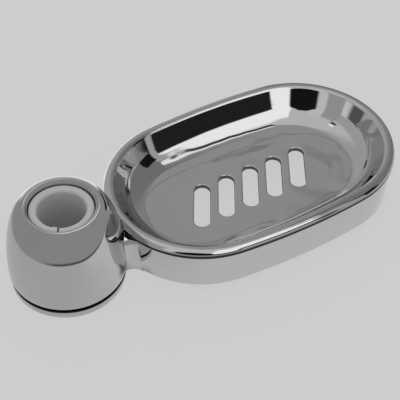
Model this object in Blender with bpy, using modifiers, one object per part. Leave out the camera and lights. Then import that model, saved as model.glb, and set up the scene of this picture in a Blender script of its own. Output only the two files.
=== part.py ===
"""Soap holder for the riser rail of a shower.

The rail runs along Z through the origin. The collar that holds it stands on z = 0, and the oval soap tray
reaches out along +X. Lengths are in metres, angles in degrees.
"""

import math

import bmesh
import bpy

# Rail and the split bush that grips it
RAIL_DIAMETER = 0.0200
RAIL_CLEARANCE = 0.00015
BUSH_WALL = 0.00255
BUSH_TAPER_RISE = 0.0010
BUSH_SHOULDER = 0.0005
BUSH_RIM_DROP = 0.0017
BUSH_RIM_ROUND = 0.0009
BUSH_MOUTH_ROUND = 0.0017
BUSH_TAIL_HEIGHT = 0.0020
BUSH_LEAD_IN = 0.0006
BUSH_DRAW = 0.0015
SPLIT_WIDTH = 0.0009
SPLIT_BEARING = -120.5
NIB_WIDTH = 0.0022
NIB_REACH = 0.0004
NIB_DEPTH = 0.0030

# Key that stops the bush from turning in the collar
KEY_WIDTH = 0.0030
KEY_HEIGHT = 0.0320
KEY_BEARING = 0.0
KEYWAY_WALL = 0.00145
KEYWAY_CLEARANCE = 0.0003
KEYWAY_RUN_OUT = 0.0025

# Domed collar
SEAT_CLEARANCE = 0.0003
COLLAR_RADIUS = 0.0255
COLLAR_WIDEST_HEIGHT = 0.0090
COLLAR_HEIGHT = 0.0430
COLLAR_FOOT_HEIGHT = 0.0054
COLLAR_FOOT_TUCK = 0.0012
COLLAR_WALL = 0.0022
LIP_ROUND = 0.0016
SLEEVE_WALL = 0.0020
SLEEVE_FOOT_HEIGHT = 0.0120
COLLAR_RIB_COUNT = 6
COLLAR_RIB_THICKNESS = 0.0016
COLLAR_RIB_RECESS = 0.0030

# Lock ring and its washer
RING_RADIUS = 0.0249
RING_FOOT_ROUND = 0.0015
RING_TOP_ROUND = 0.0008
RING_GROOVE_WIDTH = 0.0012
RING_GROOVE_DEPTH = 0.0019
RING_FLOOR = 0.0026
RING_SPIGOT_REACH = 0.0024
RING_SPIGOT_WALL = 0.0018
RING_HUB_WALL = 0.0023
SEAM_GAP = 0.0003
WASHER_THICKNESS = 0.0010
THREAD_CLEARANCE = 0.0003

# Oval frame and neck
ARM_LENGTH = 0.0926
DISH_LENGTH = 0.1400
DISH_WIDTH = 0.0899
DISH_SIDE_BOW = 0.00145
SKIRT_INSET = 0.0007
SKIRT_WALL = 0.0024
SKIRT_FOOT_HEIGHT = 0.0045
SKIRT_TOP_HEIGHT = 0.0216
SKIRT_FOOT_ROUND = 0.0008
SKIRT_EDGE_ROUND = 0.0004
NECK_HALF_WIDTH = 0.0140
NECK_COLLAR_FILLET = 0.0020
NECK_SKIRT_FILLET = 0.0064
NECK_FOOT_DROP = 0.0003
NECK_TOP_DROP = 0.0002
NECK_EDGE_ROUND = 0.0018
NECK_BLEND_DEPTH = 0.0001

# Soap tray
TRAY_CLEARANCE = 0.0003
RIM_OUTER_ROUND = 0.0032
RIM_INNER_ROUND = 0.0024
RIM_RISE = 0.0044
RIM_HEEL_ROUND = 0.0003
TRAY_WALL = 0.0022
TRAY_WALL_DRAFT = 27.0
TRAY_FOOT_ROUND = 0.0160
TRAY_FLOOR_HEIGHT = 0.0093
TRAY_FLOOR_FALL = 3.0
TRAY_FLAT_INSET = 0.0270
SPIGOT_DEPTH = 0.0030
COLLAR_RELIEF = 0.0004
SLOT_COUNT = 5
SLOT_LENGTH = 0.0264
SLOT_WIDTH = 0.0073
SLOT_PITCH = 0.01295
SLOT_SLANT = 30.2
SLOT_ROW_SHIFT = 0.0002

# Drafting values
OVERRUN = 0.0020
MERGE_DISTANCE = 0.000002
CURVE_STEPS = 6
ROUND_STEPS = 56
OVAL_END_STEPS = 30
OVAL_SIDE_STEPS = 8

CHROME_COLOUR = (0.58, 0.59, 0.60, 1.0)
BUSH_COLOUR = (0.62, 0.63, 0.63, 1.0)
WASHER_COLOUR = (0.82, 0.82, 0.80, 1.0)


def clear_scene():
    for obj in list(bpy.data.objects):
        bpy.data.objects.remove(obj, do_unlink=True)


def new_collection(name):
    collection = bpy.data.collections.new(name)
    bpy.context.scene.collection.children.link(collection)
    return collection


def new_material(name, colour, roughness, metallic):
    material = bpy.data.materials.new(name)
    material.use_nodes = True
    shader = material.node_tree.nodes["Principled BSDF"]
    shader.inputs["Base Color"].default_value = colour
    shader.inputs["Roughness"].default_value = roughness
    shader.inputs["Metallic"].default_value = metallic
    material.diffuse_color = colour
    return material


def arc(centre, radius, start, end, steps=CURVE_STEPS):
    """Points along an arc about centre, from one angle to the other."""
    points = []
    for step in range(steps + 1):
        angle = math.radians(start + (end - start) * step / steps)
        points.append((centre[0] + radius * math.cos(angle), centre[1] + radius * math.sin(angle)))
    return points


def object_from_bmesh(name, shape, collection):
    mesh = bpy.data.meshes.new(name)
    bmesh.ops.recalc_face_normals(shape, faces=shape.faces)
    shape.to_mesh(mesh)
    shape.free()
    obj = bpy.data.objects.new(name, mesh)
    collection.objects.link(obj)
    return obj


def turned(name, profile, collection, closed=True, steps=ROUND_STEPS):
    """Turn a profile of (radius, height) about Z, given from top to bottom along its outer side."""
    shape = bmesh.new()
    verts = [shape.verts.new((radius, 0, height)) for radius, height in profile]
    for first, second in zip(verts, verts[1:]):
        shape.edges.new((first, second))
    if closed:
        shape.edges.new((verts[-1], verts[0]))
    mesh = bpy.data.meshes.new(name)
    shape.to_mesh(mesh)
    shape.free()
    obj = bpy.data.objects.new(name, mesh)
    collection.objects.link(obj)
    screw = obj.modifiers.new("Turn", "SCREW")
    screw.steps = steps
    screw.render_steps = steps
    screw.use_merge_vertices = True
    screw.merge_threshold = MERGE_DISTANCE
    return obj


def prism(name, outline, low, high, collection):
    """A flat outline in XY, drawn up from one height to the other."""
    shape = bmesh.new()
    verts = [shape.verts.new((x, y, low)) for x, y in outline]
    face = shape.faces.new(verts)
    grown = bmesh.ops.extrude_face_region(shape, geom=[face])
    raised = [item for item in grown["geom"] if isinstance(item, bmesh.types.BMVert)]
    bmesh.ops.translate(shape, verts=raised, vec=(0, 0, high - low))
    return object_from_bmesh(name, shape, collection)


def box(name, low, high, collection):
    outline = [(low[0], low[1]), (high[0], low[1]), (high[0], high[1]), (low[0], high[1])]
    return prism(name, outline, low[2], high[2], collection)


def boolean(obj, cutter, operation="DIFFERENCE"):
    step = obj.modifiers.new(cutter.name, "BOOLEAN")
    step.operation = operation
    step.solver = "EXACT"
    step.object = cutter


def poly_curve(name, points, cyclic, collection):
    curve = bpy.data.curves.new(name, "CURVE")
    curve.dimensions = "3D"
    spline = curve.splines.new("POLY")
    spline.points.add(len(points) - 1)
    for point, (x, y) in zip(spline.points, points):
        point.co = (x, y, 0, 1)
    spline.use_cyclic_u = cyclic
    obj = bpy.data.objects.new(name, curve)
    collection.objects.link(obj)
    return obj


def oval_outline(inset=0.0):
    """The tray's plan about its own centre: two round ends joined by long sides that bow out a little."""
    half_length = DISH_LENGTH / 2
    half_width = DISH_WIDTH / 2
    end_radius = half_width - DISH_SIDE_BOW
    end_centre = half_length - end_radius
    side_centre = (end_centre**2 - DISH_SIDE_BOW**2) / (2 * DISH_SIDE_BOW)
    side_radius = half_width + side_centre
    join = math.degrees(math.atan2(side_centre, end_centre))
    end_radius -= inset
    side_radius -= inset
    points = arc((end_centre, 0), end_radius, -join, join, OVAL_END_STEPS)[:-1]
    points += arc((0, -side_centre), side_radius, join, 180 - join, OVAL_SIDE_STEPS)[:-1]
    points += arc((-end_centre, 0), end_radius, 180 - join, 180 + join, OVAL_END_STEPS)[:-1]
    points += arc((0, side_centre), side_radius, 180 + join, 360 - join, OVAL_SIDE_STEPS)[:-1]
    return points


def swept_oval(name, profile, closed, collection):
    """Sweep a profile of (inset, height) round the tray's oval plan. An open profile is capped across the oval."""
    section = poly_curve(name + "_section", [(-inset, height) for inset, height in profile], closed, collection)
    path = poly_curve(name + "_path", oval_outline(), True, collection)
    path.data.bevel_mode = "OBJECT"
    path.data.bevel_object = section
    bpy.context.view_layer.update()
    graph = bpy.context.evaluated_depsgraph_get()
    mesh = bpy.data.meshes.new_from_object(path.evaluated_get(graph))
    mesh.name = name
    bpy.data.objects.remove(path, do_unlink=True)
    bpy.data.objects.remove(section, do_unlink=True)
    shape = bmesh.new()
    shape.from_mesh(mesh)
    bmesh.ops.remove_doubles(shape, verts=shape.verts, dist=MERGE_DISTANCE)
    if not closed:
        bmesh.ops.holes_fill(shape, edges=[edge for edge in shape.edges if edge.is_boundary], sides=0)
    obj = object_from_bmesh(name, shape, collection)
    obj.location.x = ARM_LENGTH
    return obj


def collar_radius(height):
    """Outer radius of the collar: it tucks in at the foot and rises as a quarter ellipse to the lip."""
    lip = lip_crest_radius()
    if height >= COLLAR_WIDEST_HEIGHT:
        share = min(1, (height - COLLAR_WIDEST_HEIGHT) / (COLLAR_HEIGHT - COLLAR_WIDEST_HEIGHT))
        return lip + (COLLAR_RADIUS - lip) * math.sqrt(1 - share**2)
    share = min(1, (COLLAR_WIDEST_HEIGHT - height) / (COLLAR_WIDEST_HEIGHT - COLLAR_FOOT_HEIGHT))
    return COLLAR_RADIUS - COLLAR_FOOT_TUCK * (1 - math.sqrt(1 - share**2))


def rail_bore_radius():
    return RAIL_DIAMETER / 2 + RAIL_CLEARANCE


def bush_rim_height():
    return COLLAR_HEIGHT - BUSH_RIM_DROP


def hub_top_height():
    """Top of the lock ring's hub, under the washer that lies against the sleeve's foot."""
    return SLEEVE_FOOT_HEIGHT - WASHER_THICKNESS - 2 * SEAM_GAP


def bush_shoulder_height():
    """Foot of the bush's taper, which still clears the hub when the bush is drawn all the way down."""
    return hub_top_height() + BUSH_DRAW + SEAM_GAP


def taper_radius(height):
    """Outer radius of the bush's taper."""
    low = bush_shoulder_height()
    return rail_bore_radius() + BUSH_WALL + BUSH_TAPER_RISE * (height - low) / (bush_rim_height() - low)


def tail_radius():
    return taper_radius(bush_shoulder_height()) - BUSH_SHOULDER


def lip_crest_radius():
    return taper_radius(COLLAR_HEIGHT - LIP_ROUND) + SEAT_CLEARANCE + LIP_ROUND


def dome_points(steps=2 * CURVE_STEPS + 2):
    """Collar outline from the lip's crest down to the foot, spaced evenly by angle on each quarter ellipse."""
    lip = lip_crest_radius()
    rise = COLLAR_HEIGHT - COLLAR_WIDEST_HEIGHT
    fall = COLLAR_WIDEST_HEIGHT - COLLAR_FOOT_HEIGHT
    points = []
    for step in range(steps + 1):
        angle = math.radians(90 * (1 - step / steps))
        points.append(
            (lip + (COLLAR_RADIUS - lip) * math.cos(angle), COLLAR_WIDEST_HEIGHT + rise * math.sin(angle))
        )
    for step in range(1, CURVE_STEPS):
        angle = math.radians(90 * step / CURVE_STEPS)
        tuck = COLLAR_FOOT_TUCK * (1 - math.cos(angle))
        points.append((COLLAR_RADIUS - tuck, COLLAR_WIDEST_HEIGHT - fall * math.sin(angle)))
    points.append((COLLAR_RADIUS - COLLAR_FOOT_TUCK, COLLAR_FOOT_HEIGHT))
    return points


def collar_blank(collection):
    """The collar's outside as a solid that runs a little below its foot, which the ring's room then cuts."""
    foot = COLLAR_FOOT_HEIGHT - OVERRUN
    profile = [(0, COLLAR_HEIGHT)] + dome_points()
    profile += [(COLLAR_RADIUS - COLLAR_FOOT_TUCK, foot), (0, foot)]
    return turned("holder_body", profile, collection, closed=False)


def skirt_blank(collection):
    """Outside of the oval wall that carries the tray, as a solid that the well then hollows."""
    edge = (SKIRT_INSET + SKIRT_EDGE_ROUND, SKIRT_TOP_HEIGHT - SKIRT_EDGE_ROUND)
    foot = (SKIRT_INSET + SKIRT_FOOT_ROUND, SKIRT_FOOT_HEIGHT + SKIRT_FOOT_ROUND)
    profile = arc(edge, SKIRT_EDGE_ROUND, 90, 180, 2) + arc(foot, SKIRT_FOOT_ROUND, 180, 270, 3)
    return swept_oval("skirt_blank", profile, False, collection)


def neck_outline():
    """Plan of the neck, whose sides meet the collar with a small fillet and the skirt with a larger one."""
    end_radius = DISH_WIDTH / 2 - DISH_SIDE_BOW
    end_centre = ARM_LENGTH - (DISH_LENGTH / 2 - end_radius)
    collar = collar_radius(neck_top_height()) + NECK_COLLAR_FILLET - NECK_BLEND_DEPTH
    collar_y = NECK_HALF_WIDTH + NECK_COLLAR_FILLET
    collar_x = math.sqrt(collar**2 - collar_y**2)
    skirt = end_radius - SKIRT_INSET + NECK_SKIRT_FILLET - NECK_BLEND_DEPTH
    skirt_y = NECK_HALF_WIDTH + NECK_SKIRT_FILLET
    skirt_x = end_centre - math.sqrt(skirt**2 - skirt_y**2)
    leave = 180 - math.degrees(math.atan2(collar_y, collar_x))
    meet = math.degrees(math.atan2(skirt_y, end_centre - skirt_x))
    side = arc((collar_x, -collar_y), NECK_COLLAR_FILLET, leave, 90)
    sweep = arc((skirt_x, -skirt_y), NECK_SKIRT_FILLET, 90, meet, 2 * CURVE_STEPS)
    side += [point for point in sweep if point[0] > side[-1][0] + MERGE_DISTANCE]
    return [(0, 0)] + side + [(end_centre, 0)] + [(x, -y) for x, y in reversed(side)]


def neck_top_height():
    return SKIRT_TOP_HEIGHT - NECK_TOP_DROP


def neck_blank(collection):
    foot = SKIRT_FOOT_HEIGHT - NECK_FOOT_DROP
    neck = prism("neck_blank", neck_outline(), foot, neck_top_height(), collection)
    shape = bmesh.new()
    shape.from_mesh(neck.data)
    middle = (foot + neck_top_height()) / 2
    top = [edge for edge in shape.edges if all(vert.co.z > middle for vert in edge.verts)]
    bmesh.ops.bevel(
        shape, geom=top, affect="EDGES", offset=NECK_EDGE_ROUND, segments=3, profile=0.5, material=-1
    )
    shape.to_mesh(neck.data)
    shape.free()
    return neck


def radial_box(name, bearing, inner, outer, width, low, high, collection):
    """A box that runs out from the rail's axis at a bearing."""
    obj = box(name, (inner, -width / 2, low), (outer, width / 2, high), collection)
    obj.rotation_euler.z = math.radians(bearing)
    return obj


def rail_bore(collection):
    """Tapered seat for the bush, rounded at the lip, with the key left standing in it."""
    crest = lip_crest_radius()
    seat = SLEEVE_FOOT_HEIGHT - OVERRUN
    profile = [(0, COLLAR_HEIGHT + OVERRUN), (crest, COLLAR_HEIGHT + OVERRUN)]
    profile += arc((crest, COLLAR_HEIGHT - LIP_ROUND), LIP_ROUND, 90, 180)
    profile += [(taper_radius(seat) + SEAT_CLEARANCE, seat), (0, seat)]
    bore = turned("rail_bore", profile, collection, closed=False)
    tip = rail_bore_radius() + KEYWAY_WALL + KEYWAY_CLEARANCE
    key = radial_box("key_core", KEY_BEARING, tip, COLLAR_RADIUS, KEY_WIDTH, 0, KEY_HEIGHT, collection)
    boolean(bore, key)
    return bore


def collar_cavity(collection):
    """Hollow between the dome and the inner sleeve, crossed by radial ribs, with the lock ring's room below."""
    crown = COLLAR_HEIGHT - COLLAR_WALL
    sleeve_radius = taper_radius(crown) + SEAT_CLEARANCE + SLEEVE_WALL
    rise = crown - COLLAR_WIDEST_HEIGHT
    reach = COLLAR_RADIUS - COLLAR_WALL - sleeve_radius
    foot_radius = COLLAR_RADIUS - COLLAR_FOOT_TUCK - COLLAR_WALL
    profile = []
    for step in range(CURVE_STEPS + 1):
        angle = math.radians(90 * (1 - step / CURVE_STEPS))
        height = COLLAR_WIDEST_HEIGHT + rise * math.sin(angle)
        profile.append((sleeve_radius + reach * math.cos(angle), height))
    room_radius = RING_RADIUS + SEAM_GAP
    profile += [(foot_radius, COLLAR_FOOT_HEIGHT), (room_radius, COLLAR_FOOT_HEIGHT)]
    profile += [(room_radius, -OVERRUN), (0, -OVERRUN), (0, SLEEVE_FOOT_HEIGHT)]
    profile.append((taper_radius(SLEEVE_FOOT_HEIGHT) + SEAT_CLEARANCE + SLEEVE_WALL, SLEEVE_FOOT_HEIGHT))
    cavity = turned("collar_cavity", profile, collection)
    for index in range(COLLAR_RIB_COUNT):
        bearing = 360 * (index + 0.5) / COLLAR_RIB_COUNT
        rib = radial_box(
            f"rib_core_{index}", bearing, rail_bore_radius(), COLLAR_RADIUS + OVERRUN,
            COLLAR_RIB_THICKNESS, SLEEVE_FOOT_HEIGHT + COLLAR_RIB_RECESS, COLLAR_HEIGHT + OVERRUN, collection,
        )
        boolean(cavity, rib)
    return cavity


def frame_well(collection):
    """Space that the tray drops into."""
    well = prism(
        "frame_well", oval_outline(SKIRT_INSET + SKIRT_WALL), SKIRT_FOOT_HEIGHT - OVERRUN,
        SKIRT_TOP_HEIGHT + OVERRUN, collection,
    )
    well.location.x = ARM_LENGTH
    return well


def make_body(parts, cutters):
    """One moulding: domed collar, neck and oval frame. The frame's well stops where it meets the collar."""
    body = collar_blank(parts)
    frame = skirt_blank(cutters)
    boolean(frame, neck_blank(cutters), "UNION")
    boolean(frame, frame_well(cutters))
    boolean(body, frame, "UNION")
    boolean(body, collar_cavity(cutters))
    boolean(body, rail_bore(cutters))
    return body


def tray_profile():
    """Section of the tray from the flat floor's edge up over the rim and back under the floor."""
    draft = math.radians(TRAY_WALL_DRAFT)
    fall = math.radians(TRAY_FLOOR_FALL)
    wall_normal = (math.cos(draft), math.sin(draft))
    floor_normal = (math.sin(fall), math.cos(fall))
    crest = RIM_OUTER_ROUND
    inner_centre = (crest, SKIRT_TOP_HEIGHT + RIM_RISE - RIM_INNER_ROUND)
    outer_centre = (crest, SKIRT_TOP_HEIGHT + RIM_RISE - RIM_OUTER_ROUND)
    wall = wall_normal[0] * inner_centre[0] + wall_normal[1] * inner_centre[1] + RIM_INNER_ROUND
    floor = floor_normal[0] * TRAY_FLAT_INSET + floor_normal[1] * TRAY_FLOOR_HEIGHT
    cross = wall_normal[0] * floor_normal[1] - wall_normal[1] * floor_normal[0]
    wall_reach = wall + TRAY_FOOT_ROUND
    floor_reach = floor + TRAY_FOOT_ROUND
    foot = (
        (wall_reach * floor_normal[1] - floor_reach * wall_normal[1]) / cross,
        (floor_reach * wall_normal[0] - wall_reach * floor_normal[0]) / cross,
    )
    turn = (180 + TRAY_WALL_DRAFT, 270 - TRAY_FLOOR_FALL)
    under = SKIRT_TOP_HEIGHT + TRAY_CLEARANCE
    heel = math.degrees(math.asin((outer_centre[1] - under - RIM_HEEL_ROUND) / RIM_OUTER_ROUND))
    spigot = SKIRT_INSET + SKIRT_WALL + TRAY_CLEARANCE
    spigot_foot = under - SPIGOT_DEPTH
    step_down = spigot_foot - TRAY_WALL / 2
    step_inset = (wall - TRAY_WALL - wall_normal[1] * step_down) / wall_normal[0]
    profile = [(TRAY_FLAT_INSET, TRAY_FLOOR_HEIGHT)]
    profile += arc(foot, TRAY_FOOT_ROUND, turn[1], turn[0])
    profile += arc(inner_centre, RIM_INNER_ROUND, TRAY_WALL_DRAFT, 90)
    profile += arc(outer_centre, RIM_OUTER_ROUND, 90, 180 + heel)[1:]
    profile += [(profile[-1][0] + RIM_HEEL_ROUND, under), (spigot, under), (spigot, spigot_foot)]
    profile.append((step_inset, step_down))
    profile += arc(foot, TRAY_FOOT_ROUND + TRAY_WALL, turn[0], turn[1])
    profile.append((TRAY_FLAT_INSET, TRAY_FLOOR_HEIGHT - TRAY_WALL))
    return profile


def drain_slots(collection):
    """Slanted slots with round ends, in a row along the tray."""
    shape = bmesh.new()
    radius = SLOT_WIDTH / 2
    straight = SLOT_LENGTH / 2 - radius
    outline = arc((straight, 0), radius, -90, 90) + arc((-straight, 0), radius, 90, 270)
    slant = math.radians(90 - SLOT_SLANT)
    low = TRAY_FLOOR_HEIGHT - TRAY_WALL - OVERRUN
    high = TRAY_FLOOR_HEIGHT + OVERRUN
    for index in range(SLOT_COUNT):
        shift = SLOT_ROW_SHIFT + (index - (SLOT_COUNT - 1) / 2) * SLOT_PITCH
        verts = []
        for along, across in outline:
            x = shift + along * math.cos(slant) - across * math.sin(slant)
            y = along * math.sin(slant) + across * math.cos(slant)
            verts.append(shape.verts.new((x, y, low)))
        grown = bmesh.ops.extrude_face_region(shape, geom=[shape.faces.new(verts)])
        raised = [item for item in grown["geom"] if isinstance(item, bmesh.types.BMVert)]
        bmesh.ops.translate(shape, verts=raised, vec=(0, 0, high - low))
    slots = object_from_bmesh("drain_slots", shape, collection)
    slots.location.x = ARM_LENGTH
    return slots


def collar_relief(collection):
    """Clears the tray past the collar, which narrows all the way up."""
    low = TRAY_FLOOR_HEIGHT - TRAY_WALL - OVERRUN
    high = SKIRT_TOP_HEIGHT + RIM_RISE + OVERRUN
    profile = [(0, high)]
    for step in range(CURVE_STEPS + 1):
        height = high - (high - COLLAR_WIDEST_HEIGHT) * step / CURVE_STEPS
        profile.append((collar_radius(height) + COLLAR_RELIEF, height))
    profile += [(COLLAR_RADIUS + COLLAR_RELIEF, low), (0, low)]
    return turned("collar_relief", profile, collection, closed=False)


def make_tray(parts, cutters):
    """Tray that hangs in the frame by its rim and lifts out."""
    tray = swept_oval("soap_tray", tray_profile(), False, parts)
    boolean(tray, drain_slots(cutters))
    boolean(tray, collar_relief(cutters))
    return tray


def bush_profile():
    bore = rail_bore_radius()
    top = bush_rim_height()
    shoulder = bush_shoulder_height()
    profile = arc((bore + BUSH_MOUTH_ROUND, top - BUSH_MOUTH_ROUND), BUSH_MOUTH_ROUND, 180, 90)
    profile += arc((taper_radius(top) - BUSH_RIM_ROUND, top - BUSH_RIM_ROUND), BUSH_RIM_ROUND, 90, 0, 3)
    profile += [(taper_radius(shoulder), shoulder), (tail_radius(), shoulder)]
    profile.append((tail_radius(), BUSH_TAIL_HEIGHT + BUSH_LEAD_IN))
    profile.append((tail_radius() - BUSH_LEAD_IN, BUSH_TAIL_HEIGHT))
    profile.append((bore + BUSH_LEAD_IN, BUSH_TAIL_HEIGHT))
    profile.append((bore, BUSH_TAIL_HEIGHT + BUSH_LEAD_IN))
    return profile


def make_bush(parts, cutters):
    """Split taper bush, with a keyway up one side and a nib beside the split."""
    bush = turned("rail_bush", bush_profile(), parts)
    bore = rail_bore_radius()
    top = bush_rim_height()
    turn = math.degrees((NIB_WIDTH + SPLIT_WIDTH) / 2 / (bore + BUSH_MOUTH_ROUND / 2))
    nib = radial_box(
        "bush_nib", SPLIT_BEARING - turn, bore + NIB_REACH, bore + BUSH_MOUTH_ROUND + NIB_REACH, NIB_WIDTH,
        top - NIB_DEPTH, top - NIB_REACH / 4, cutters,
    )
    keyway = radial_box(
        "keyway", KEY_BEARING, bore + KEYWAY_WALL, COLLAR_RADIUS, KEY_WIDTH + 2 * KEYWAY_CLEARANCE, 0,
        KEY_HEIGHT + KEYWAY_RUN_OUT, cutters,
    )
    split = radial_box(
        "bush_split", SPLIT_BEARING, bore - OVERRUN, COLLAR_RADIUS, SPLIT_WIDTH,
        BUSH_TAIL_HEIGHT - OVERRUN, top + OVERRUN, cutters,
    )
    boolean(bush, nib, "UNION")
    boolean(bush, keyway)
    boolean(bush, split)
    return bush


def make_ring(parts):
    """Ring at the collar's foot, whose hub works on the bush's tail and draws it into the taper."""
    bore = tail_radius() + THREAD_CLEARANCE
    hub = bore + RING_HUB_WALL
    groove = RING_RADIUS - RING_GROOVE_DEPTH
    rim_top = COLLAR_FOOT_HEIGHT - RING_GROOVE_WIDTH
    face = COLLAR_FOOT_HEIGHT - SEAM_GAP
    spigot = COLLAR_RADIUS - COLLAR_FOOT_TUCK - COLLAR_WALL - SEAM_GAP
    spigot_top = COLLAR_FOOT_HEIGHT + RING_SPIGOT_REACH
    inner = spigot - RING_SPIGOT_WALL
    profile = [(bore, hub_top_height()), (hub, hub_top_height()), (hub, RING_FLOOR), (inner, RING_FLOOR)]
    profile += [(inner, spigot_top), (spigot, spigot_top), (spigot, face), (groove, face), (groove, rim_top)]
    profile += arc((RING_RADIUS - RING_TOP_ROUND, rim_top - RING_TOP_ROUND), RING_TOP_ROUND, 90, 0, 3)
    profile += arc((RING_RADIUS - RING_FOOT_ROUND, RING_FOOT_ROUND), RING_FOOT_ROUND, 0, -90, 4)
    profile.append((bore, 0))
    return turned("lock_ring", profile, parts)


def make_washer(parts):
    """Slip washer between the ring's hub and the collar's sleeve."""
    inner = tail_radius() + BUSH_SHOULDER + THREAD_CLEARANCE
    outer = tail_radius() + THREAD_CLEARANCE + RING_HUB_WALL
    high = SLEEVE_FOOT_HEIGHT - SEAM_GAP
    low = high - WASHER_THICKNESS
    return turned("slip_washer", [(inner, high), (outer, high), (outer, low), (inner, low)], parts)


def finish(obj, material, holder):
    obj.data.materials.append(material)
    obj.data.shade_smooth()
    obj.data.set_sharp_from_angle(angle=math.radians(30))
    obj.parent = holder


def main():
    clear_scene()
    parts = new_collection("shower_rail_soap_holder")
    cutters = new_collection("cutters")
    holder = bpy.data.objects.new("holder_origin", None)
    parts.objects.link(holder)
    chrome = new_material("chrome_plate", CHROME_COLOUR, 0.06, 1.0)
    grey = new_material("bush_plastic", BUSH_COLOUR, 0.42, 0.0)
    white = new_material("washer_plastic", WASHER_COLOUR, 0.5, 0.0)
    finish(make_body(parts, cutters), chrome, holder)
    finish(make_tray(parts, cutters), chrome, holder)
    finish(make_bush(parts, cutters), grey, holder)
    finish(make_ring(parts), chrome, holder)
    finish(make_washer(parts), white, holder)
    for cutter in cutters.objects:
        cutter.hide_render = True
        cutter.display_type = "WIRE"


main()
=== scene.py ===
"""Shower rail soap holder: bright chrome pieces, the grey rail bush, and a plain pale studio.

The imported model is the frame. Every piece is built in its place, in metres, with the rail's axis on Z.
"""

import math
from typing import NamedTuple

import bmesh
import bpy
from mathutils import Matrix, Vector


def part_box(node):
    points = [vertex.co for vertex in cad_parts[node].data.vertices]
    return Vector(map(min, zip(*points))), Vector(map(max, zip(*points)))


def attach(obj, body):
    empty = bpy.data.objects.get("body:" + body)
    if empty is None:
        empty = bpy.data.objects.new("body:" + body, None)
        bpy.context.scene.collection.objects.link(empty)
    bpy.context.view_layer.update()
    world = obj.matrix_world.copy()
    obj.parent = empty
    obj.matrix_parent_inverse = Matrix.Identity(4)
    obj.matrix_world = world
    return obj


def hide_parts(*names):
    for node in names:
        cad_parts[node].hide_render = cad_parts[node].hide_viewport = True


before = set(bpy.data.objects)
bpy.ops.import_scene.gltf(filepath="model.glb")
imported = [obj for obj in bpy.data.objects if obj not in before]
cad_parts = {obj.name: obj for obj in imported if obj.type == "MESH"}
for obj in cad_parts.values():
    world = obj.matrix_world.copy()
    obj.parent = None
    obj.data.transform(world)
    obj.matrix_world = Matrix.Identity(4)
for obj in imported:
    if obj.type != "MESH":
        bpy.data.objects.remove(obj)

bl_info = {
    "name": "Shower Rail Soap Holder",
    "version": (1, 0, 0),
    "blender": (4, 5, 0),
    "location": "3D View > Sidebar > Soap Holder",
    "description": "Builds the chrome and plastic pieces of a soap holder for a shower rail",
    "category": "Object",
}

BODY_LOW, BODY_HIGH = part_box("holder_body")
BUSH_LOW, BUSH_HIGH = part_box("rail_bush")
TRAY_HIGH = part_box("soap_tray")[1]
RING_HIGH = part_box("lock_ring")[1]

MERGE_DISTANCE = 0.000001
OVERRUN = 0.002  # how far a cutter runs past the solid that it cuts
SHARP_ANGLE = math.radians(35)
# The Mix node's sockets for colours, by number, because they share their names with its other sockets.
MIX_FIRST, MIX_SECOND, MIX_RESULT = 6, 7, 2
CARD_BEARINGS = (44, 98, 5)  # the white card behind the tray's far side


def length(name, description, default):
    return bpy.props.FloatProperty(
        name=name, description=description, default=default, min=0.0, precision=5, unit="LENGTH"
    )


def angle(name, description, degrees):
    return bpy.props.FloatProperty(
        name=name, description=description, default=math.radians(degrees), unit="ROTATION"
    )


def colour(name, description, default):
    return bpy.props.FloatVectorProperty(
        name=name, description=description, default=default, min=0.0, max=1.0, subtype="COLOR"
    )


def share(name, description, default):
    return bpy.props.FloatProperty(
        name=name, description=description, default=default, min=0.0, subtype="FACTOR"
    )


def count(name, description, default):
    return bpy.props.IntProperty(name=name, description=description, default=default, min=1)


class CollarSizes(bpy.types.PropertyGroup):
    """Sizes of the domed collar."""

    radius: length("Radius", "Outer radius where the collar is widest", -BODY_LOW.x)
    height: length("Height", "Height of the lip above the foot of the lock ring", BODY_HIGH.z)
    widest: length("Widest height", "Height at which the collar is widest", 0.0090)
    foot: length("Foot height", "Height of the collar's foot, above the lock ring", 0.0054)
    tuck: length("Foot tuck", "How far the collar draws in at its foot", 0.0012)
    wall: length("Wall", "Thickness of the dome", 0.0022)
    lip_round: length("Lip round", "Radius of the lip", 0.0016)
    seat_clearance: length("Seat clearance", "Gap between the bush and its seat", 0.0003)
    sleeve_wall: length("Sleeve wall", "Thickness of the inner sleeve", 0.0020)
    sleeve_foot: length("Sleeve foot", "Height of the inner sleeve's foot", 0.0120)
    ribs: count("Ribs", "How many ribs stand inside the dome", 6)
    rib_thickness: length("Rib thickness", "Thickness of the ribs inside the dome", 0.0016)
    rib_recess: length("Rib recess", "How far the ribs stop above the sleeve's foot", 0.0030)
    key_width: length("Key width", "Width of the key in the seat", 0.0030)
    key_height: length("Key height", "Height of the top of the key", 0.0320)


class RingSizes(bpy.types.PropertyGroup):
    """Sizes of the lock ring."""

    radius: length("Radius", "Outer radius of the ring", RING_HIGH.x)
    foot_round: length("Foot round", "Radius of the lower edge", 0.0015)
    top_round: length("Top round", "Radius of the upper edge", 0.0008)
    groove_width: length("Groove width", "Height of the groove under the collar", 0.0012)
    groove_depth: length("Groove depth", "How deep the groove is", 0.0019)
    floor: length("Floor", "Thickness of the ring's floor", 0.0026)
    spigot_reach: length("Spigot reach", "How far the spigot stands into the collar", 0.0024)
    spigot_wall: length("Spigot wall", "Thickness of the spigot", 0.0018)
    hub_wall: length("Hub wall", "Thickness of the hub", 0.0023)
    hub_top: length("Hub top", "Height of the hub", RING_HIGH.z)
    seam: length("Seam", "Gap between the ring and the collar", 0.0003)
    thread_clearance: length("Thread clearance", "Gap between the hub and the bush", 0.0003)


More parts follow.
